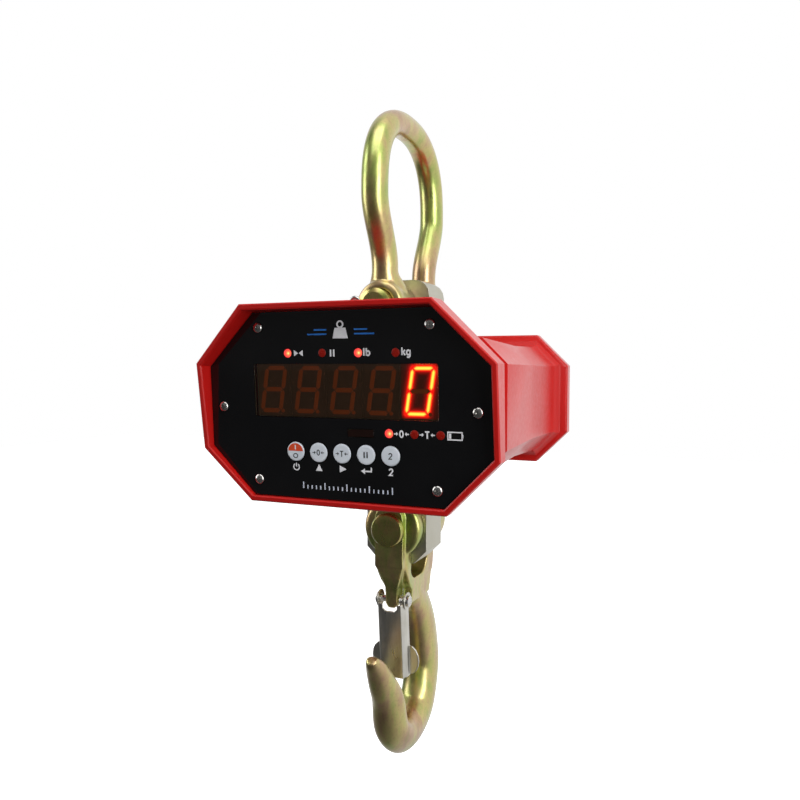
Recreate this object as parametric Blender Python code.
"""A five tonne crane scale: shackle, load cell, sealed display housing and swinging load hook.

Lengths are written in millimetres and turned into metres when each mesh is made.
The origin is the seat inside the crown of the shackle, where a crane hook bears.
+X is to the right of somebody reading the display, +Y runs from the display to the rear, +Z is up.
The shackle, load cell and hook share the vertical load axis X = 0, Y = 0.
"""

import math

import bmesh
import bpy
from mathutils import Matrix, Vector

MM = 0.001
GAP = 0.3

# Load axis, as heights below the seat.
ROD_RADIUS = 11.5
UPPER_PIN_Z = -155.0
LOWER_PIN_Z = -353.0
HOUSING_Z = -239.0
BOWL_Z = -507.0

# Housing casting.
HOUSING_HALF_WIDTH = 128.0
BEZEL_HALF_HEIGHT = 80.0
BEZEL_TOP_CUT = 46.8
BEZEL_BOTTOM_CUT = 42.6
BEZEL_WALL = 4.8
BEZEL_OPENING = 22.5
FRONT_Y = -137.0
REAR_Y = 137.0
RIM_SLOPE = math.tan(math.radians(8.4))
BEZEL_BACK_Y = -120.0
BEZEL_BACK_SLOPE = 0.07
SIDE_FLAT = 33.5
REAR_HALF_HEIGHT = 65.5
REAR_CUT = 31.6
REAR_FLANGE = 15.0
REAR_LEDGE_Y = REAR_Y - 8.0
COVER_Y = REAR_Y - 2.0
REAR_RECESS = (119.0, 57.0, 27.5, 27.5)
CAVITY = (109.0, 44.5, 14.0, 14.0)
NECK = (115.4, 50.0, 16.5, 16.5)
PASSAGE_HALF_HEIGHT = 53.2
SOCKET_SPOT = (70.0, -22.0)
SOCKET_RADIUS = 6.0
SOCKET_FLANGE_RADIUS = 8.5
REAR_SCREW_SPOT = (92.0, 48.5)
SCREW_HEAD_RADIUS = 4.1
TAPPED_RADIUS = 2.3
REAR_SCREW_SINK = 2.2
SOCKET_SINK = 1.9

# Display panel, tipped forward so that it reads well from the floor.
PANEL_Y = -126.9
PANEL_TILT = math.radians(3.8)
PANEL_THICKNESS = 3.0
PANEL_EDGE_GAP = 0.6
PANEL_SCREWS = ((-74.2, 62.3), (74.2, 62.3), (110.2, -2.2), (78.0, -61.6), (-78.0, -61.6), (-110.2, -2.2))
WINDOW = (160.0, 42.8)
WINDOW_CENTRE = (-0.2, 11.8)
DIGIT_PITCH = 31.9
DIGIT_COUNT = 5
INDICATOR_RADIUS = 3.6
TOP_INDICATORS = {"stable": -47.6, "hold": -16.4, "pound": 14.8, "kilogram": 46.0}
TOP_INDICATOR_V = 41.6
LOW_INDICATORS = {"zero": 39.1, "tare": 59.9, "low_battery": 80.7}
LOW_INDICATOR_V = -19.9
RECEIVER = (15.2, -20.5, 23.0, 6.6)
KEY_RADIUS = 7.7
KEY_V = -37.2
KEY_PROUD = 0.7
KEYS = {"power": -43.0, "zero": -22.2, "tare": -1.4, "hold": 19.4, "second": 40.2}
BOARD_W = 13.0

# Load cell.
CELL_HALF_DEPTH = 19.5
UPPER_LUG_HALF_WIDTH = 31.0
LOWER_LUG_HALF_WIDTH = 29.4
CELL_HALF_WIDTH = 38.0
CELL_TOP = -129.4
CELL_BOTTOM = -386.0
UPPER_PIN_RADIUS = 14.0
LOWER_PIN_RADIUS = 13.0
PIN_FIT = 0.4

# Shackle.
LEG_HALF_PITCH = 46.5
BOW_HALF_PITCH = 68.0
BOW_SQUARENESS = 2.4
EYE_RADIUS = 22.0
EYE_OUTER = 61.0
EYE_INNER = 20.8

# Hook.
YOKE_FRONT = -31.0
YOKE_REAR = 40.0
RIB_FRONT = -37.0
LUG_HALF_THICKNESS = 6.0
LATCH_PIVOT = (-25.0, -419.3)
LATCH_LEAN = math.radians(5.5)

RED = ("red_powder_coat", (0.55, 0.012, 0.018), 0.35, 0.0)
BLACK_GLOSS = ("black_gloss_sheet", (0.008, 0.008, 0.01), 0.12, 0.0)
SMOKE = ("smoked_filter", (0.035, 0.012, 0.008), 0.1, 0.0)
GOLD = ("yellow_zinc", (0.55, 0.48, 0.22), 0.3, 1.0)
OLIVE = ("olive_zinc_pin", (0.25, 0.25, 0.1), 0.35, 1.0)
NICKEL = ("satin_nickel", (0.6, 0.58, 0.52), 0.35, 1.0)
BRIGHT = ("bright_steel", (0.75, 0.75, 0.74), 0.2, 1.0)
GALVANISED = ("galvanised_sheet", (0.62, 0.63, 0.62), 0.38, 1.0)
RUBBER = ("black_rubber", (0.02, 0.02, 0.02), 0.8, 0.0)
KEY_GREY = ("pale_key_plastic", (0.7, 0.71, 0.73), 0.4, 0.0)
LENS_RED = ("red_lens", (0.5, 0.02, 0.01), 0.15, 0.0)
BOARD_GREEN = ("circuit_board", (0.02, 0.16, 0.06), 0.45, 0.0)
CASE_GREY = ("grey_case", (0.25, 0.26, 0.28), 0.5, 0.0)
BLACK_PLASTIC = ("black_plastic", (0.03, 0.03, 0.03), 0.5, 0.0)
PLATE_GREY = ("plated_bracket", (0.5, 0.5, 0.48), 0.4, 1.0)


def material(finish):
    name, colour, roughness, metallic = finish
    found = bpy.data.materials.get(name)
    if found:
        return found
    made = bpy.data.materials.new(name)
    made.use_nodes = True
    shader = made.node_tree.nodes["Principled BSDF"]
    shader.inputs["Base Color"].default_value = (*colour, 1.0)
    shader.inputs["Roughness"].default_value = roughness
    shader.inputs["Metallic"].default_value = metallic
    return made


def shade(mesh, angle=35.0):
    mesh.shade_smooth()
    mesh.set_sharp_from_angle(angle=math.radians(angle))


def solid(name, points, faces, finish):
    """An object from points in millimetres, with its faces turned outwards."""
    mesh = bpy.data.meshes.new(name)
    mesh.from_pydata([Vector(point) * MM for point in points], [], faces)
    build = bmesh.new()
    build.from_mesh(mesh)
    bmesh.ops.recalc_face_normals(build, faces=build.faces)
    build.to_mesh(mesh)
    build.free()
    shade(mesh)
    made = bpy.data.objects.new(name, mesh)
    made.data.materials.append(material(finish))
    bpy.context.scene.collection.objects.link(made)
    return made


def loft(name, rings, finish, closed=False):
    """Joins rings of equal length, with a flat cap on each end, or end to start when closed."""
    count = len(rings[0])
    points = [point for ring in rings for point in ring]
    faces = []
    for row in range(len(rings) if closed else len(rings) - 1):
        first, second = row * count, (row + 1) % len(rings) * count
        for i in range(count):
            j = (i + 1) % count
            faces.append((first + i, first + j, second + j, second + i))
    if not closed:
        faces.append(tuple(range(count)))
        faces.append(tuple(range(len(points) - count, len(points))))
    return solid(name, points, faces, finish)


def prism(name, outline, start, end, finish):
    """An outline of X and Z values, extruded along Y."""
    return loft(name, [[(x, y, z) for x, z in outline] for y in (start, end)], finish)


def box(name, low, high, finish):
    corners = [(low[0], low[2]), (high[0], low[2]), (high[0], high[2]), (low[0], high[2])]
    return prism(name, corners, low[1], high[1], finish)


def round_ring(radius, along, axis, centre, segments):
    ring = []
    for i in range(segments):
        turn = 2 * math.pi * i / segments
        a, b = radius * math.cos(turn), radius * math.sin(turn)
        offset = {"X": (along, a, b), "Y": (a, along, b), "Z": (a, b, along)}[axis]
        ring.append(tuple(c + o for c, o in zip(centre, offset)))
    return ring


def turned(name, profile, axis, centre, finish, segments=24, closed=False):
    """A profile of radius and distance along the axis, turned into a solid or, when closed, a sleeve."""
    rings = [round_ring(radius, along, axis, centre, segments) for radius, along in profile]
    return loft(name, rings, finish, closed)


def rod(name, radius, start, end, axis, centre, finish, segments=24):
    return turned(name, [(radius, start), (radius, end)], axis, centre, finish, segments)


def combine(target, tool, operation):
    """Applies a Boolean with its tool, and removes the tool."""
    modifier = target.modifiers.new(tool.name, "BOOLEAN")
    modifier.operation = operation
    modifier.object = tool
    graph = bpy.context.evaluated_depsgraph_get()
    mesh = bpy.data.meshes.new_from_object(target.evaluated_get(graph))
    target.modifiers.clear()
    target.data = mesh
    shade(mesh)
    bpy.data.objects.remove(tool)
    return target


def cut(target, tool):
    return combine(target, tool, "DIFFERENCE")


def join(target, tool):
    return combine(target, tool, "UNION")


def octagon(half_width, half_height, top_cut, bottom_cut):
    """Corners run from the top left, over the right side, and back up the left side."""
    w, h = half_width, half_height
    right = [(w - top_cut, h), (w, h - top_cut), (w, bottom_cut - h), (w - bottom_cut, -h)]
    left = [(-x, z) for x, z in reversed(right)]
    return [left[-1], *right, *left[:-1]]


def inset(outline, distance):
    """Moves each side of a convex clockwise outline inwards."""
    sides = []
    for i, start in enumerate(outline):
        end = outline[(i + 1) % len(outline)]
        run = Vector((end[0] - start[0], end[1] - start[1])).normalized()
        inward = Vector((run.y, -run.x))
        sides.append((inward, inward.dot(Vector(start)) + distance))
    corners = []
    for i, (normal, reach) in enumerate(sides):
        before, before_reach = sides[i - 1]
        scale = before.x * normal.y - before.y * normal.x
        x = (before_reach * normal.y - reach * before.y) / scale
        z = (before.x * reach - normal.x * before_reach) / scale
        corners.append((x, z))
    return corners


def rounded_rectangle(width, height, radius, steps=4, centre=(0.0, 0.0)):
    outline = []
    corners = ((1, 1, 0), (-1, 1, 90), (-1, -1, 180), (1, -1, 270))
    for sx, sz, start in corners:
        corner = (centre[0] + sx * (width / 2 - radius), centre[1] + sz * (height / 2 - radius))
        outline += arc(corner, radius, start, start + 90, steps)
    return outline


def arc(centre, radius, first, last, steps):
    """Points round a centre, from one angle in degrees to another."""
    points = []
    for i in range(steps + 1):
        turn = math.radians(first + (last - first) * i / steps)
        points.append((centre[0] + radius * math.cos(turn), centre[1] + radius * math.sin(turn)))
    return points


def smoothstep(value):
    t = min(max(value, 0.0), 1.0)
    return t * t * (3 - 2 * t)


def catmull_rom(points, steps):
    """Points of any size, with a smooth curve of the given steps between each pair."""
    ends = [points[0], *points, points[-1]]
    curve = []
    for a, b, c, d in zip(ends, ends[1:], ends[2:], ends[3:]):
        for i in range(steps):
            t = i / steps
            curve.append(
                tuple(
                    0.5 * (2 * q + (r - p) * t + (2 * p - 5 * q + 4 * r - s) * t**2 + (3 * q - p - 3 * r + s) * t**3)
                    for p, q, r, s in zip(a, b, c, d)
                )
            )
    curve.append(points[-1])
    return curve


def sweep(name, stations, finish, segments=16, taper=0.0):
    """Ovals along a path in the YZ plane, wider inside a bend if they taper. A station is Y, Z, half width, half depth."""
    rings = []
    for i, (y, z, across, deep) in enumerate(stations):
        ahead = stations[min(i + 1, len(stations) - 1)]
        behind = stations[max(i - 1, 0)]
        run = Vector((ahead[0] - behind[0], ahead[1] - behind[1])).normalized()
        ring = []
        for k in range(segments):
            turn = 2 * math.pi * k / segments
            side = across * math.cos(turn) * (1.0 + taper * math.sin(turn))
            out = deep * math.sin(turn)
            ring.append((side, y - run.y * out, z + run.x * out))
        rings.append(ring)
    return loft(name, rings, finish)


def wire(name, path, radius, finish, segments=8):
    """A round wire along any path in space."""
    spots = [Vector(point) for point in path]
    rings = []
    side = None
    for i, spot in enumerate(spots):
        run = (spots[min(i + 1, len(spots) - 1)] - spots[max(i - 1, 0)]).normalized()
        if side is None:
            side = run.orthogonal()
        side = (side - run * side.dot(run)).normalized()
        other = run.cross(side)
        ring = []
        for k in range(segments):
            turn = 2 * math.pi * k / segments
            ring.append(tuple(spot + radius * (side * math.cos(turn) + other * math.sin(turn))))
        rings.append(ring)
    return loft(name, rings, finish)


def empty(name, location, rotation=0.0, parent=None):
    made = bpy.data.objects.new(name, None)
    made.matrix_world = Matrix.Translation(Vector(location) * MM) @ Matrix.Rotation(rotation, 4, "X")
    bpy.context.scene.collection.objects.link(made)
    if parent:
        hold(parent, made)
    return made


def hold(parent, *children):
    """Parents the children and keeps them where they are."""
    bpy.context.view_layer.update()
    for child in children:
        world = child.matrix_world.copy()
        child.parent = parent
        child.matrix_parent_inverse = parent.matrix_world.inverted()
        child.matrix_world = world


def on_panel(frame, *children):
    """Puts meshes made in the panel's own frame, X across, Y inwards and Z up the panel, in place."""
    for child in children:
        child.parent = frame


def split_pin(name, y, z, reach):
    """A split pin pushed through along X, with its eye beyond the end at -X."""
    radius, eye = 1.7, 4.0
    path = [(reach, y, z), (-reach, y, z)]
    steps, first_turn, last_turn = 11, -38.0, 262.0
    for i in range(steps + 1):
        turn = math.radians(first_turn + (last_turn - first_turn) * i / steps)
        path.append((-reach - eye * 1.2 - eye * math.cos(turn), y, z + eye * math.sin(turn)))
    return wire(name, path, radius, BRIGHT)


# Shackle and its pin.


def leg_stations():
    """One leg, from the middle of its eye, where it is as thick as the eye, up to the bow."""
    crown_z = ROD_RADIUS - BOW_HALF_PITCH
    eye_depth, eye_pitch = (EYE_OUTER - EYE_INNER) / 2 - 0.8, (EYE_OUTER + EYE_INNER) / 2
    leg_z, swell_z = UPPER_PIN_Z + 31.0, UPPER_PIN_Z + 34.0
    stations = []
    flare_steps = 4
    for i in range(flare_steps):
        up = i / flare_steps
        spread = 1.0 - smoothstep(up)
        pitch = LEG_HALF_PITCH + (eye_pitch - LEG_HALF_PITCH) * spread
        deep = ROD_RADIUS + (eye_depth - ROD_RADIUS) * spread
        across = ROD_RADIUS + (EYE_RADIUS - 2.0 - ROD_RADIUS) * spread
        stations.append((pitch, UPPER_PIN_Z + 7.0 + (leg_z - UPPER_PIN_Z - 7.0) * up, across, deep))
    leg_steps = 7
    for i in range(leg_steps):
        z = leg_z + (crown_z - leg_z) * i / leg_steps
        swell = smoothstep((z - swell_z) / (crown_z - swell_z - 4.0))
        pitch = LEG_HALF_PITCH + (BOW_HALF_PITCH - LEG_HALF_PITCH) * swell
        stations.append((pitch, z, ROD_RADIUS, ROD_RADIUS))
    return stations


def bow_stations():
    """The rod's centre line, from the front eye over the crown to the rear eye."""
    crown_z = ROD_RADIUS - BOW_HALF_PITCH
    leg = leg_stations()
    stations = [(-y, *rest) for y, *rest in leg]
    turns = 16
    for i in range(turns + 1):
        turn = math.pi * i / turns
        y = -math.copysign(abs(math.cos(turn)) ** (2 / BOW_SQUARENESS), math.cos(turn))
        z = math.sin(turn) ** (2 / BOW_SQUARENESS) if 0 < i < turns else 0.0
        stations.append((BOW_HALF_PITCH * y, crown_z + BOW_HALF_PITCH * z, ROD_RADIUS, ROD_RADIUS))
    return [*stations, *reversed(leg)]


def make_shackle_bow():
    bow = sweep("shackle_bow", bow_stations(), GOLD)
    at_pin = (0.0, 0.0, UPPER_PIN_Z)
    round_over = 5.0
    for side in (-1, 1):
        profile = [
            (EYE_RADIUS - round_over, side * EYE_INNER),
            (EYE_RADIUS, side * (EYE_INNER + round_over)),
            (EYE_RADIUS, side * (EYE_OUTER - round_over)),
            (EYE_RADIUS - round_over, side * EYE_OUTER),
        ]
        join(bow, turned("eye", profile, "Y", at_pin, GOLD))
        hole = UPPER_PIN_RADIUS + PIN_FIT
        cut(bow, rod("bore", hole, side * (EYE_INNER - 9), side * (EYE_OUTER + 9), "Y", at_pin, GOLD))
    return bow


def load_pin(name, z, radius, ends, bearing, head_radius, cross):
    """A headed pin along Y, from its head to its tip. The head bears on a face, and a split pin goes across."""
    head, tip = ends
    side = 1 if head > tip else -1
    edge, tip_edge = 1.2, 4.0
    inner = bearing + side * GAP
    profile = [
        (radius - tip_edge, tip),
        (radius, tip + side * tip_edge / 2),
        (radius, inner),
        (head_radius, inner + side * 0.01),
        (head_radius, head - side * edge),
        (head_radius - edge, head),
    ]
    pin = turned(name, profile, "Y", (0.0, 0.0, z), OLIVE)
    return cut(pin, rod("cross", 2.3, -radius - 9, radius + 9, "X", (0.0, *cross), OLIVE, 16))


def shackle_parts():
    ends, cross = (66.0, -71.0), (-66.0, UPPER_PIN_Z + 2.5)
    pin = load_pin("upper_load_pin", UPPER_PIN_Z, UPPER_PIN_RADIUS, ends, EYE_OUTER, 19.0, cross)
    return [make_shackle_bow(), pin, split_pin("upper_split_pin", *cross, 14.5)]


# Load cell, which is also the spine that carries the housing.


def cell_outline():
    """Half of the outline, from the top down, mirrored to the other side."""
    shoulder_top, shoulder_bottom = HOUSING_Z + 84.0, HOUSING_Z - 80.0
    top_round, flare, bottom_cut = 14.0, 6.0, 12.0
    half = arc((UPPER_LUG_HALF_WIDTH - top_round, CELL_TOP - top_round), top_round, 90.0, 0.0, 4)
    half += [
        (UPPER_LUG_HALF_WIDTH, shoulder_top + flare),
        (CELL_HALF_WIDTH, shoulder_top - flare),
        (CELL_HALF_WIDTH, shoulder_bottom + flare),
        (LOWER_LUG_HALF_WIDTH, shoulder_bottom - flare),
        (LOWER_LUG_HALF_WIDTH, CELL_BOTTOM + bottom_cut),
        (LOWER_LUG_HALF_WIDTH - bottom_cut, CELL_BOTTOM),
    ]
    return half + [(-x, z) for x, z in reversed(half)]


def make_load_cell():
    cell = prism("load_cell", cell_outline(), -CELL_HALF_DEPTH, CELL_HALF_DEPTH, NICKEL)
    reach = CELL_HALF_DEPTH + 5.0
    for z, radius in ((UPPER_PIN_Z, UPPER_PIN_RADIUS), (LOWER_PIN_Z, LOWER_PIN_RADIUS)):
        cut(cell, rod("bore", radius + PIN_FIT, -reach, reach, "Y", (0.0, 0.0, z), NICKEL))
    web = 4.0
    for side in (-1, 1):
        pocket = rod("pocket", 17.0, side * web, side * reach, "Y", (0.0, 0.0, HOUSING_Z), NICKEL)
        cut(cell, pocket)
    return cell


def make_cell_seal(name, side):
    """A rubber frame that closes the gap where the load cell leaves the housing."""
    face = HOUSING_Z + side * (PASSAGE_HALF_HEIGHT + GAP)
    outline = [
        rounded_rectangle(98.0, 64.0, 8.0),
        rounded_rectangle(2 * CELL_HALF_WIDTH + 1.0, 2 * CELL_HALF_DEPTH + 1.0, 1.0),
    ]
    lip = 5.0
    heights = [(0, face), (0, face + side * lip), (1, face + side * lip), (1, face)]
    rings = [[(x, y, z) for x, y in outline[which]] for which, z in heights]
    return loft(name, rings, RUBBER, closed=True)


# Housing.


def upright(outline, y):
    """Stands an outline up in the housing, square to the Y axis."""
    return [(x, y, z + HOUSING_Z) for x, z in outline]


def section(half_width, half_height, y):
    cut_size = half_height - SIDE_FLAT
    return upright(octagon(half_width, half_height, cut_size, cut_size), y)


def sloped(outline, y, slope):
    """Stands an outline up in the housing, on a plane that leans forward at the top."""
    return [(x, y - z * slope, z + HOUSING_Z) for x, z in outline]


def flange_ring(half_width, half_height, cut_size, y):
    return upright(octagon(half_width, half_height, cut_size, cut_size), y)


def make_housing_shell():
    front = BEZEL_BACK_Y + 1.8
    step_y, waist_y, neck_end = -85.0, 39.0, 106.0
    flange_y = REAR_Y - REAR_FLANGE
    cavity = octagon(*CAVITY)
    outer = [
        sloped(octagon(*NECK), front, BEZEL_BACK_SLOPE),
        section(115.4, 50.0, step_y - 0.5),
        section(120.4, 54.0, step_y),
        section(112.8, 51.4, waist_y),
        section(114.6, 52.6, neck_end),
    ]
    flare = 5
    for i in range(1, flare):
        turn = math.radians(90 * i / flare)
        out, along = 1 - math.cos(turn), math.sin(turn)
        y = neck_end + (flange_y - neck_end) * along
        cut_size = 19.1 + (REAR_CUT - 5.0 - 19.1) * out
        outer.append(flange_ring(114.6 + 9.0 * out, 52.6 + 9.0 * out, cut_size, y))
    edge = 1.5
    outer += [
        flange_ring(HOUSING_HALF_WIDTH - edge, REAR_HALF_HEIGHT - edge, REAR_CUT, flange_y),
        flange_ring(HOUSING_HALF_WIDTH, REAR_HALF_HEIGHT, REAR_CUT, flange_y + edge),
        flange_ring(HOUSING_HALF_WIDTH, REAR_HALF_HEIGHT, REAR_CUT, REAR_Y - edge),
        flange_ring(HOUSING_HALF_WIDTH - edge, REAR_HALF_HEIGHT - edge, REAR_CUT, REAR_Y),
    ]
    recess = octagon(*REAR_RECESS)
    inner = [
        upright(recess, REAR_Y),
        upright(recess, REAR_LEDGE_Y),
        upright(inset(cavity, 2.0), REAR_LEDGE_Y),
        upright(cavity, REAR_LEDGE_Y - 8.0),
        sloped(cavity, front, BEZEL_BACK_SLOPE),
    ]
    shell = loft("housing_shell", outer + inner, RED, closed=True)
    low = (-CELL_HALF_WIDTH - 1.5, -CELL_HALF_DEPTH - 1.5, HOUSING_Z - 90)
    high = (CELL_HALF_WIDTH + 1.5, CELL_HALF_DEPTH + 1.5, HOUSING_Z + 90)
    cut(shell, box("passage", low, high, RED))
    for x, z in rear_screw_spots():
        spot = (x, REAR_LEDGE_Y, z + HOUSING_Z)
        cut(shell, rod("pilot", TAPPED_RADIUS, -6.0, 2.0, "Y", spot, RED, 12))
    return shell


def bezel_outline():
    return octagon(HOUSING_HALF_WIDTH, BEZEL_HALF_HEIGHT, BEZEL_TOP_CUT, BEZEL_BOTTOM_CUT)


def make_front_bezel(frame):
    outline = bezel_outline()
    recess = inset(outline, BEZEL_WALL)
    opening = inset(outline, BEZEL_OPENING)
    edge = 1.0
    tilt = math.tan(PANEL_TILT)
    seat_y = PANEL_Y + (PANEL_THICKNESS + GAP) / math.cos(PANEL_TILT)
    rings = [
        sloped(inset(outline, edge), FRONT_Y, RIM_SLOPE),
        sloped(outline, FRONT_Y + edge, RIM_SLOPE),
        sloped(outline, BEZEL_BACK_Y - edge, BEZEL_BACK_SLOPE),
        sloped(inset(outline, edge), BEZEL_BACK_Y, BEZEL_BACK_SLOPE),
        sloped(opening, BEZEL_BACK_Y, BEZEL_BACK_SLOPE),
        sloped(opening, seat_y, tilt),
        sloped(recess, seat_y, tilt),
        sloped(recess, FRONT_Y + edge, RIM_SLOPE),
        sloped(inset(recess, -edge), FRONT_Y, RIM_SLOPE),
    ]
    bezel = loft("front_bezel", rings, RED, closed=True)
    for x, v in PANEL_SCREWS:
        tool = rod("pilot", TAPPED_RADIUS, -5.0, 30.0, "Y", (x, 0.0, v), RED, 12)
        tool.matrix_world = frame.matrix_world
        cut(bezel, tool)
    return bezel


def make_bezel_gasket():
    outer, inner = inset(octagon(*NECK), 1.0), inset(octagon(*CAVITY), -1.0)
    front, back = BEZEL_BACK_Y + GAP, BEZEL_BACK_Y + 1.5
    rings = [
        sloped(outer, front, BEZEL_BACK_SLOPE),
        sloped(outer, back, BEZEL_BACK_SLOPE),
        sloped(inner, back, BEZEL_BACK_SLOPE),
        sloped(inner, front, BEZEL_BACK_SLOPE),
    ]
    return loft("bezel_gasket", rings, RUBBER, closed=True)


def make_rear_cover():
    outline = inset(octagon(*REAR_RECESS), 0.6)
    start, end = REAR_LEDGE_Y + 2.0, COVER_Y
    edge = 1.0
    rings = [upright(outline, start), upright(outline, end - edge), upright(inset(outline, edge), end)]
    cover = loft("rear_cover", rings, RED)
    for x, z in rear_screw_spots():
        spot = (x, 0.0, z + HOUSING_Z)
        cut(cover, rod("hole", TAPPED_RADIUS, start - 5, end + 5, "Y", spot, RED, 12))
        cut(cover, rod("counterbore", SCREW_HEAD_RADIUS + 0.5, end - REAR_SCREW_SINK, end + 5, "Y", spot, RED, 20))
    x, z = SOCKET_SPOT
    spot = (x, 0.0, z + HOUSING_Z)
    cut(cover, rod("port", SOCKET_RADIUS + 0.4, start - 5, end + 5, "Y", spot, RED, 20))
    cut(cover, rod("rebate", SOCKET_FLANGE_RADIUS + 0.4, end - SOCKET_SINK, end + 5, "Y", spot, RED, 24))
    return cover


def make_rear_gasket():
    outer, inner = inset(octagon(*REAR_RECESS), 0.8), inset(octagon(*CAVITY), 1.4)
    levels = [(outer, GAP), (outer, 1.7), (inner, 1.7), (inner, GAP)]
    rings = [upright(outline, REAR_LEDGE_Y + rise) for outline, rise in levels]
    gasket = loft("rear_gasket", rings, RUBBER, closed=True)
    for x, z in rear_screw_spots():
        spot = (x, REAR_LEDGE_Y, z + HOUSING_Z)
        cut(gasket, rod("hole", TAPPED_RADIUS, -3.0, 4.0, "Y", spot, RUBBER, 12))
    return gasket


def rear_screw_spots():
    x, z = REAR_SCREW_SPOT
    return [(-x, z), (x, z), (x, -z), (-x, -z)]


def screw_mesh(name, head_radius, head_height, shank_radius, shank_length):
    """A pan head cross recess screw along Y, its head's underside at Y = 0 and its tip at +Y."""
    profile = [
        (head_radius * 0.6, -head_height),
        (head_radius, -head_height * 0.5),
        (head_radius, 0.0),
        (shank_radius, 0.01),
        (shank_radius, shank_length),
    ]
    screw = turned(name, profile, "Y", (0.0, 0.0, 0.0), BRIGHT, 12)
    slot, arm = 0.55, head_radius * 0.5
    low_y, high_y = -head_height - 1, -head_height * 0.35
    cut(screw, box("slot", (-arm, low_y, -slot), (arm, high_y, slot), BRIGHT))
    cut(screw, box("slot", (-slot, low_y, -arm), (slot, high_y, arm), BRIGHT))
    return screw


def copies(first, names):
    """One object for each name, all with the first one's mesh. The first one takes the first name."""
    first.name = names[0]
    made = [first]
    for name in names[1:]:
        other = bpy.data.objects.new(name, first.data)
        bpy.context.scene.collection.objects.link(other)
        made.append(other)
    return made


def make_panel_screws():
    first = screw_mesh("panel_screw_1", SCREW_HEAD_RADIUS, 2.5, 2.0, 6.2)
    screws = copies(first, [f"panel_screw_{i + 1}" for i in range(len(PANEL_SCREWS))])
    for screw, (x, v) in zip(screws, PANEL_SCREWS):
        screw.location = Vector((x, -GAP, v)) * MM
    return screws


def make_rear_screws():
    first = screw_mesh("rear_screw_1", SCREW_HEAD_RADIUS, 1.8, 2.0, 5.0)
    spots = rear_screw_spots()
    screws = copies(first, [f"rear_screw_{i + 1}" for i in range(len(spots))])
    for screw, (x, z) in zip(screws, spots):
        screw.location = Vector((x, COVER_Y - REAR_SCREW_SINK + GAP, z + HOUSING_Z)) * MM
        screw.rotation_euler = (0.0, 0.0, math.pi)
    return screws


# Display panel and what it carries, in the panel's own frame.


def make_display_panel():
    outline = inset(bezel_outline(), BEZEL_WALL + PANEL_EDGE_GAP)
    panel = prism("display_panel", outline, 0.0, PANEL_THICKNESS, BLACK_GLOSS)
    reach = (-2.0, PANEL_THICKNESS + 2.0)
    for x, v in PANEL_SCREWS:
        cut(panel, rod("hole", TAPPED_RADIUS, *reach, "Y", (x, 0.0, v), BLACK_GLOSS, 12))
    for x in KEYS.values():
        cut(panel, rod("hole", KEY_RADIUS + GAP, *reach, "Y", (x, 0.0, KEY_V), BLACK_GLOSS, 20))
    for x, v in indicator_spots().values():
        cut(panel, rod("hole", INDICATOR_RADIUS, *reach, "Y", (x, 0.0, v), BLACK_GLOSS, 12))
    window = rounded_rectangle(*WINDOW, 1.5, centre=WINDOW_CENTRE)
    cut(panel, prism("hole", window, *reach, BLACK_GLOSS))
    x, v, width, height = RECEIVER
    cut(panel, prism("hole", rounded_rectangle(width, height, 1.0, centre=(x, v)), *reach, BLACK_GLOSS))
    return panel


def indicator_spots():
    spots = {name: (x, TOP_INDICATOR_V) for name, x in TOP_INDICATORS.items()}
    spots |= {name: (x, LOW_INDICATOR_V) for name, x in LOW_INDICATORS.items()}
    return spots


def make_display_filter():
    """A smoked window with a flange that bears on the back of the panel."""
    neck = rounded_rectangle(WINDOW[0] - 2 * GAP, WINDOW[1] - 2 * GAP, 1.2, centre=WINDOW_CENTRE)
    flange = rounded_rectangle(WINDOW[0] + 4.0, WINDOW[1] + 4.0, 1.2, centre=WINDOW_CENTRE)
    behind = PANEL_THICKNESS + GAP
    levels = [(neck, 0.2), (neck, behind), (flange, behind), (flange, behind + 1.4)]
    rings = [[(x, w, v) for x, v in outline] for outline, w in levels]
    return loft("display_filter", rings, SMOKE)


def make_digits():
    width, height = DIGIT_PITCH - 2 * GAP, WINDOW[1] - 0.6
    front, back = PANEL_THICKNESS + 2.4, BOARD_W - GAP
    digits = []
    for i in range(DIGIT_COUNT):
        x = WINDOW_CENTRE[0] + (i - (DIGIT_COUNT - 1) / 2) * DIGIT_PITCH
        outline = rounded_rectangle(width, height, 1.0, 2, centre=(x, WINDOW_CENTRE[1]))
        digits.append(prism(f"digit_{i + 1}", outline, front, back, CASE_GREY))
    return digits


def make_indicators():
    """A lens with a collar behind the panel for each indicator lamp."""
    lenses = []
    radius, collar = INDICATOR_RADIUS - GAP, INDICATOR_RADIUS + 0.9
    behind = PANEL_THICKNESS + GAP
    profile = [(radius, 0.1), (radius, behind), (collar, behind + 0.01), (collar, behind + 2.0)]
    for name, (x, v) in indicator_spots().items():
        lenses.append(turned(f"indicator_{name}", profile, "Y", (x, 0.0, v), LENS_RED, 12))
    return lenses


def make_receiver_window():
    x, v, width, height = RECEIVER
    outline = rounded_rectangle(width - 2 * GAP, height - 2 * GAP, 0.8, centre=(x, v))
    return prism("infrared_window", outline, 0.1, PANEL_THICKNESS + 1.0, SMOKE)


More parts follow.
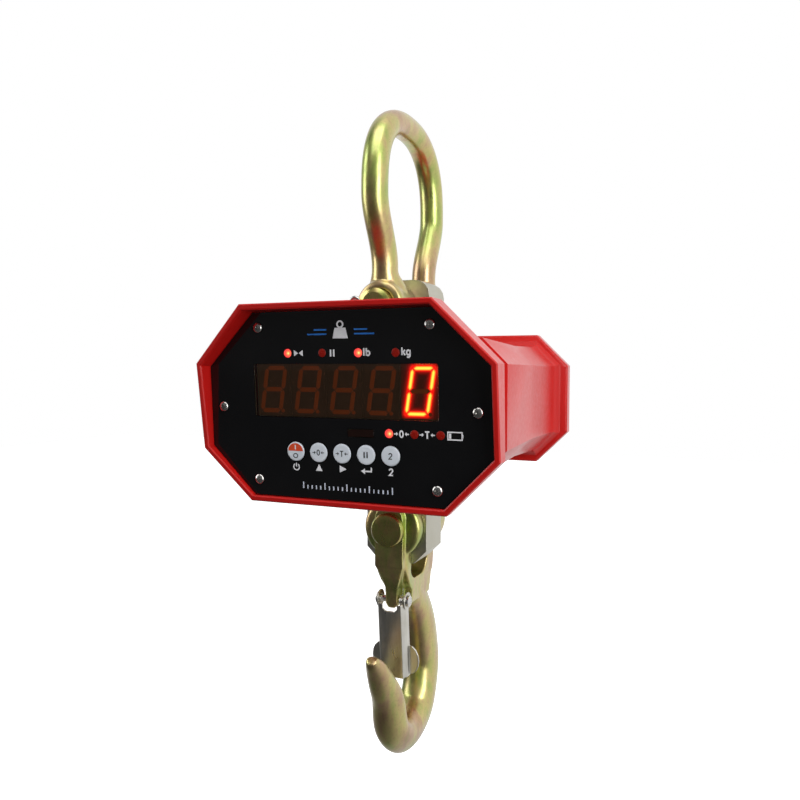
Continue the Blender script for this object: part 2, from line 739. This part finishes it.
def make_keys():
    """Round key caps with a retaining flange behind the panel. Each one's origin is on its slide axis."""
    keys = {}
    behind = PANEL_THICKNESS + GAP + 0.1
    profile = [
        (KEY_RADIUS - 0.5, -KEY_PROUD),
        (KEY_RADIUS, -KEY_PROUD + 0.5),
        (KEY_RADIUS, behind),
        (KEY_RADIUS + 1.5, behind + 0.01),
        (KEY_RADIUS + 1.5, behind + 1.6),
        (3.0, behind + 1.61),
        (3.0, BOARD_W - 3.6),
    ]
    for name, x in KEYS.items():
        key = turned(f"key_{name}", profile, "Y", (0.0, 0.0, 0.0), KEY_GREY, 20)
        key.location = Vector((x, 0.0, KEY_V)) * MM
        keys[name] = key
    return keys


def make_display_board():
    half, top, bottom, thick = 84.0, 42.5, -44.0, 1.6
    low, high = (-half, BOARD_W, bottom), (half, BOARD_W + thick, top)
    return box("display_board", low, high, BOARD_GREEN)


def make_key_switch_strip():
    """One moulded strip of dome switches in front of the board, under all five keys."""
    low = (min(KEYS.values()) - 9.0, BOARD_W - 2.4, KEY_V - 6.0)
    high = (max(KEYS.values()) + 9.0, BOARD_W - GAP, KEY_V + 6.0)
    return box("key_switch_strip", low, high, RUBBER)


# Inside the housing.


def make_main_board():
    y = -60.0
    return box("main_board", (-80.0, y, HOUSING_Z - 36.0), (80.0, y + 1.6, HOUSING_Z + 36.0), BOARD_GREEN)


def make_battery_pack():
    low = (-55.0, 62.0, HOUSING_Z - 39.5)
    high = (55.0, 110.0, HOUSING_Z + 32.0)
    battery = box("battery_pack", low, high, CASE_GREY)
    for x in (-38.0, 38.0):
        spot = (x, (low[1] + high[1]) / 2, 0.0)
        join(battery, rod("terminal", 3.5, high[2] - 1.0, high[2] + 5.0, "Z", spot, BRIGHT, 12))
    return battery


def make_battery_tray():
    """A folded tray, open to the front and the top, that stands on the housing's floor."""
    floor = HOUSING_Z - 43.5
    tray = box("battery_tray", (-60.0, 58.0, floor), (60.0, 114.0, HOUSING_Z - 14.0), PLATE_GREY)
    cut(tray, box("space", (-56.0, 50.0, floor + 2.0), (56.0, 111.0, HOUSING_Z + 4.0), PLATE_GREY))
    return tray


def make_cell_bracket(name, side):
    """An angle that joins the load cell's side to the housing's floor."""
    thick, foot_reach = 5.0, 26.0
    inner = CELL_HALF_WIDTH + GAP
    foot = HOUSING_Z - 44.5 + GAP
    top = HOUSING_Z + 24.0
    outline = [
        (side * inner, foot),
        (side * (inner + foot_reach), foot),
        (side * (inner + foot_reach), foot + thick),
        (side * (inner + thick), foot + thick),
        (side * (inner + thick), top),
        (side * inner, top),
    ]
    bracket = prism(name, outline, -17.0, 17.0, PLATE_GREY)
    hole_x = side * (inner + thick + 10.0)
    cut(bracket, rod("hole", 3.4, foot - 3, foot + thick + 3, "Z", (hole_x, 0.0, 0.0), PLATE_GREY, 16))
    return bracket


def make_bracket_bolt(name, side):
    """A bolt that goes down through the bracket's foot. The housing's wall is tapped below it."""
    x = side * (CELL_HALF_WIDTH + GAP + 15.0)
    foot_top = HOUSING_Z - 44.5 + GAP + 5.0
    profile = [(3.0, foot_top - 4.6), (3.0, foot_top + GAP), (5.5, foot_top + GAP + 0.01), (5.5, foot_top + 5.0)]
    return turned(name, profile, "Z", (x, 0.0, 0.0), BRIGHT, 16)


def make_charge_socket():
    x, z = SOCKET_SPOT
    bearing = COVER_Y - SOCKET_SINK
    face = bearing + 1.6
    profile = [
        (SOCKET_RADIUS, bearing - 16.0),
        (SOCKET_RADIUS, bearing + GAP),
        (SOCKET_FLANGE_RADIUS, bearing + GAP + 0.01),
        (SOCKET_FLANGE_RADIUS, face),
        (3.2, face),
        (3.2, face - 9.6),
    ]
    return turned("charge_socket", profile, "Y", (x, 0.0, z + HOUSING_Z), BLACK_PLASTIC, 24)


# Hook, latch and their pins.


def hook_stations():
    """From the nose, round the bowl and up the back to the neck. Depths are in the hook's plane."""
    bowl_outside = {180: 53.6, 225: 58.0, 270: 64.0, 315: 70.0}
    nose = [(-73.0, 48.0, 4.5, 4.0), (-69.5, 44.0, 6.8, 6.6), (-61.5, 34.5, 10.0, 9.3), (-52.0, 20.0, 12.2, 12.2)]
    bowl = []
    for degrees, across, deep in ((180, 14.6, 14.2), (225, 16.0, 15.4), (270, 16.4, 18.0), (315, 16.2, 21.0)):
        turn = math.radians(degrees)
        reach = bowl_outside[degrees] - deep
        bowl.append((reach * math.cos(turn), reach * math.sin(turn), across, deep))
    back = [(50.0, 0.0, 16.0, 22.0), (47.5, 28.0, 15.6, 21.5), (40.0, 53.0, 14.8, 19.5), (27.0, 75.0, 13.5, 17.5)]
    back += [(14.0, 88.0, 13.5, 17.0), (5.0, 101.0, 13.5, 17.0)]
    return [(y, z + BOWL_Z, across, deep) for y, z, across, deep in catmull_rom(nose + bowl + back, 4)]


def cheek_outline(shrink):
    """A round head about the lower pin with a neck below it."""
    radius, neck_top_half, neck_half, neck_z = 27.6, 15.5, 13.0, -425.0
    head = arc((0.0, LOWER_PIN_Z), radius - shrink, -56.0, 236.0, 20)
    neck = [(neck_top_half - shrink / 2, -388.0), (neck_half - shrink / 2, neck_z)]
    return [*head, *[(-x, z) for x, z in neck], *reversed(neck)]


def wedge(points, name="wedge"):
    """A YZ outline, extruded across the whole hook."""
    reach = 60.0
    return loft(name, [[(x, y, z) for y, z in points] for x in (-reach, reach)], GOLD)


def make_yoke():
    """The hook's fork: two round cheeks with a rib down the front one that ends in the latch lug."""
    below = -440.0
    ahead, behind = YOKE_FRONT - 20.0, YOKE_REAR + 5.0
    levels = ((YOKE_FRONT, 5.0), (YOKE_FRONT + 1.5, 2.5), (YOKE_FRONT + 4.5, 0.0))
    levels += ((YOKE_REAR - 4.5, 0.0), (YOKE_REAR - 1.5, 2.5), (YOKE_REAR, 5.0))
    rings = [[(x, y, z) for x, z in cheek_outline(shrink)] for y, shrink in levels]
    yoke = loft("yoke", rings, GOLD)
    front_taper = [(YOKE_FRONT, -391.0), (-20.0, -406.0), (-14.0, -412.0), (-14.0, below)]
    cut(yoke, wedge([(ahead, -391.0), *front_taper, (ahead, below)]))
    cut(yoke, wedge([(behind, -399.0), (35.0, -406.0), (31.0, below), (behind, below)]))
    rib_half, lug_half = 13.6, LUG_HALF_THICKNESS
    side = [(rib_half, -387.0), (8.5, -400.0), (lug_half, -408.0), (lug_half, -422.0), (lug_half - 3.0, -426.0)]
    crown = arc((0.0, LOWER_PIN_Z + 9.0), rib_half, 180.0, 0.0, 10)
    rib = prism("rib", crown + side + [(-x, z) for x, z in reversed(side)], RIB_FRONT, -12.0, GOLD)
    back = [(RIB_FRONT, -387.0), (-32.0, -399.0), (-30.5, -410.0), (-30.5, below)]
    cut(rib, wedge([(ahead, -387.0), *back, (ahead, below)]))
    join(yoke, rib)
    slot_half, slot_floor, slot_round = CELL_HALF_DEPTH + 0.6, -402.0, 14.0
    corner = (slot_half - slot_round, slot_floor + slot_round)
    slot = [(slot_half, LOWER_PIN_Z + 60.0), *arc(corner, slot_round, 0.0, -90.0, 6)[:-1]]
    slot = [*slot, *[(-y, z) for y, z in reversed(slot)]]
    return cut(yoke, wedge(slot, "slot"))


def make_hook():
    hook = join(sweep("hook_forging", hook_stations(), GOLD, taper=0.24), make_yoke())
    hole = LOWER_PIN_RADIUS + PIN_FIT
    cut(hook, rod("bore", hole, -60.0, 60.0, "Y", (0.0, 0.0, LOWER_PIN_Z), GOLD))
    return cut(hook, rod("rivet_hole", 3.3, -20.0, 20.0, "X", (0.0, *LATCH_PIVOT), GOLD, 12))


def make_latch():
    """A folded sheet latch, made about its pivot at the origin and hanging down."""
    thick, web_half, ear_half, ear_radius, length = 1.6, 10.8, 14.0, 8.0, 70.5
    front, rear, fold = -10.0, 1.5, 5.5
    notch = [(-web_half, -1.5), (-7.0, -1.5), (-7.0, -5.0), (-4.0, -7.8)]
    notch += [(-x, z) for x, z in reversed(notch)]
    web = [*notch, (web_half, -length), (-web_half, -length)]
    plate = prism("latch_plate", web, front, front + thick, GALVANISED)
    for side in (-1, 1):
        fold_line = [(web_half - thick, front), (web_half, front), (ear_half, front + fold), (ear_half, rear)]
        fold_line += [(ear_half - thick, rear), (ear_half - thick, front + fold + 0.5)]
        levels = (0.4 - length, -1.0)
        join(plate, loft("flange", [[(side * x, y, z) for x, y in fold_line] for z in levels], GALVANISED))
        near, far = sorted((side * (ear_half - thick), side * ear_half))
        join(plate, rod("ear", ear_radius, near, far, "X", (0.0, 0.0, 0.0), GALVANISED, 20))
        wing = [(ear_half - 0.6 + 9.8 * x, 14.0 * z - 55.7) for x, z in arc((0.0, 0.0), 1.0, -90.0, 90.0, 8)]
        join(plate, prism("wing", [(side * x, z) for x, z in wing], -0.8, 0.8, GALVANISED))
    cut(plate, rod("bore", 3.4, -20.0, 20.0, "X", (0.0, 0.0, 0.0), GALVANISED, 16))
    plate.location = Vector((0.0, *LATCH_PIVOT)) * MM
    plate.rotation_euler = (LATCH_LEAN, 0.0, 0.0)
    return plate


def make_latch_rivet():
    profile = [(4.4, -16.6), (5.2, -15.8), (5.2, -14.4), (3.0, -14.39)]
    profile += [(radius, -along) for radius, along in reversed(profile)]
    return turned("latch_rivet", profile, "X", (0.0, *LATCH_PIVOT), BRIGHT, 16)


def make_latch_spring():
    """Coils round the rivet, with one tail up on the hook's neck and one down behind the latch's web."""
    y, z = LATCH_PIVOT
    radius, turns, pitch, start, per_turn = 4.4, 2.5, 1.15, 7.2, 12
    path = [(start, y + radius, z + 10.0), (start, y + radius, z + 5.0)]
    for i in range(int(per_turn * turns) + 1):
        turn = 2 * math.pi * i / per_turn
        path.append((start + pitch * i / per_turn, y + radius * math.cos(turn), z + radius * math.sin(turn)))
    end = start + pitch * turns
    path += [(end, y - radius - 1.0, z - 6.0), (end, y - radius - 0.8, z - 20.0)]
    return wire("latch_spring", path, 0.55, BRIGHT, 6)


def hook_parts():
    ends, cross = (-43.0, 51.0), (46.0, LOWER_PIN_Z)
    pin = load_pin("lower_load_pin", LOWER_PIN_Z, LOWER_PIN_RADIUS, ends, RIB_FRONT, 15.2, cross)
    clip = split_pin("lower_split_pin", *cross, 16.5)
    return [make_hook(), pin, clip, make_latch_rivet(), make_latch_spring()]


def main():
    for old in list(bpy.data.objects):
        bpy.data.objects.remove(old, do_unlink=True)
    shackle = empty("shackle_pivot", (0.0, 0.0, UPPER_PIN_Z))
    housing = empty("housing_pivot", (0.0, 0.0, UPPER_PIN_Z))
    hook = empty("hook_pivot", (0.0, 0.0, LOWER_PIN_Z), parent=housing)
    panel_frame = empty("panel_frame", (0.0, PANEL_Y, HOUSING_Z), PANEL_TILT, housing)
    bpy.context.view_layer.update()
    hold(shackle, *shackle_parts())
    hold(
        housing,
        make_load_cell(),
        make_cell_seal("cell_seal_top", 1),
        make_cell_seal("cell_seal_bottom", -1),
        make_housing_shell(),
        make_front_bezel(panel_frame),
        make_bezel_gasket(),
        make_rear_cover(),
        make_rear_gasket(),
        *make_rear_screws(),
        make_main_board(),
        make_battery_pack(),
        make_battery_tray(),
        make_cell_bracket("cell_bracket_left", -1),
        make_cell_bracket("cell_bracket_right", 1),
        make_bracket_bolt("bracket_bolt_left", -1),
        make_bracket_bolt("bracket_bolt_right", 1),
        make_charge_socket(),
    )
    on_panel(
        panel_frame,
        make_display_panel(),
        make_display_filter(),
        make_receiver_window(),
        make_display_board(),
        make_key_switch_strip(),
        *make_panel_screws(),
        *make_digits(),
        *make_indicators(),
        *make_keys().values(),
    )
    hold(hook, *hook_parts(), make_latch())
    bpy.context.view_layer.update()


main()
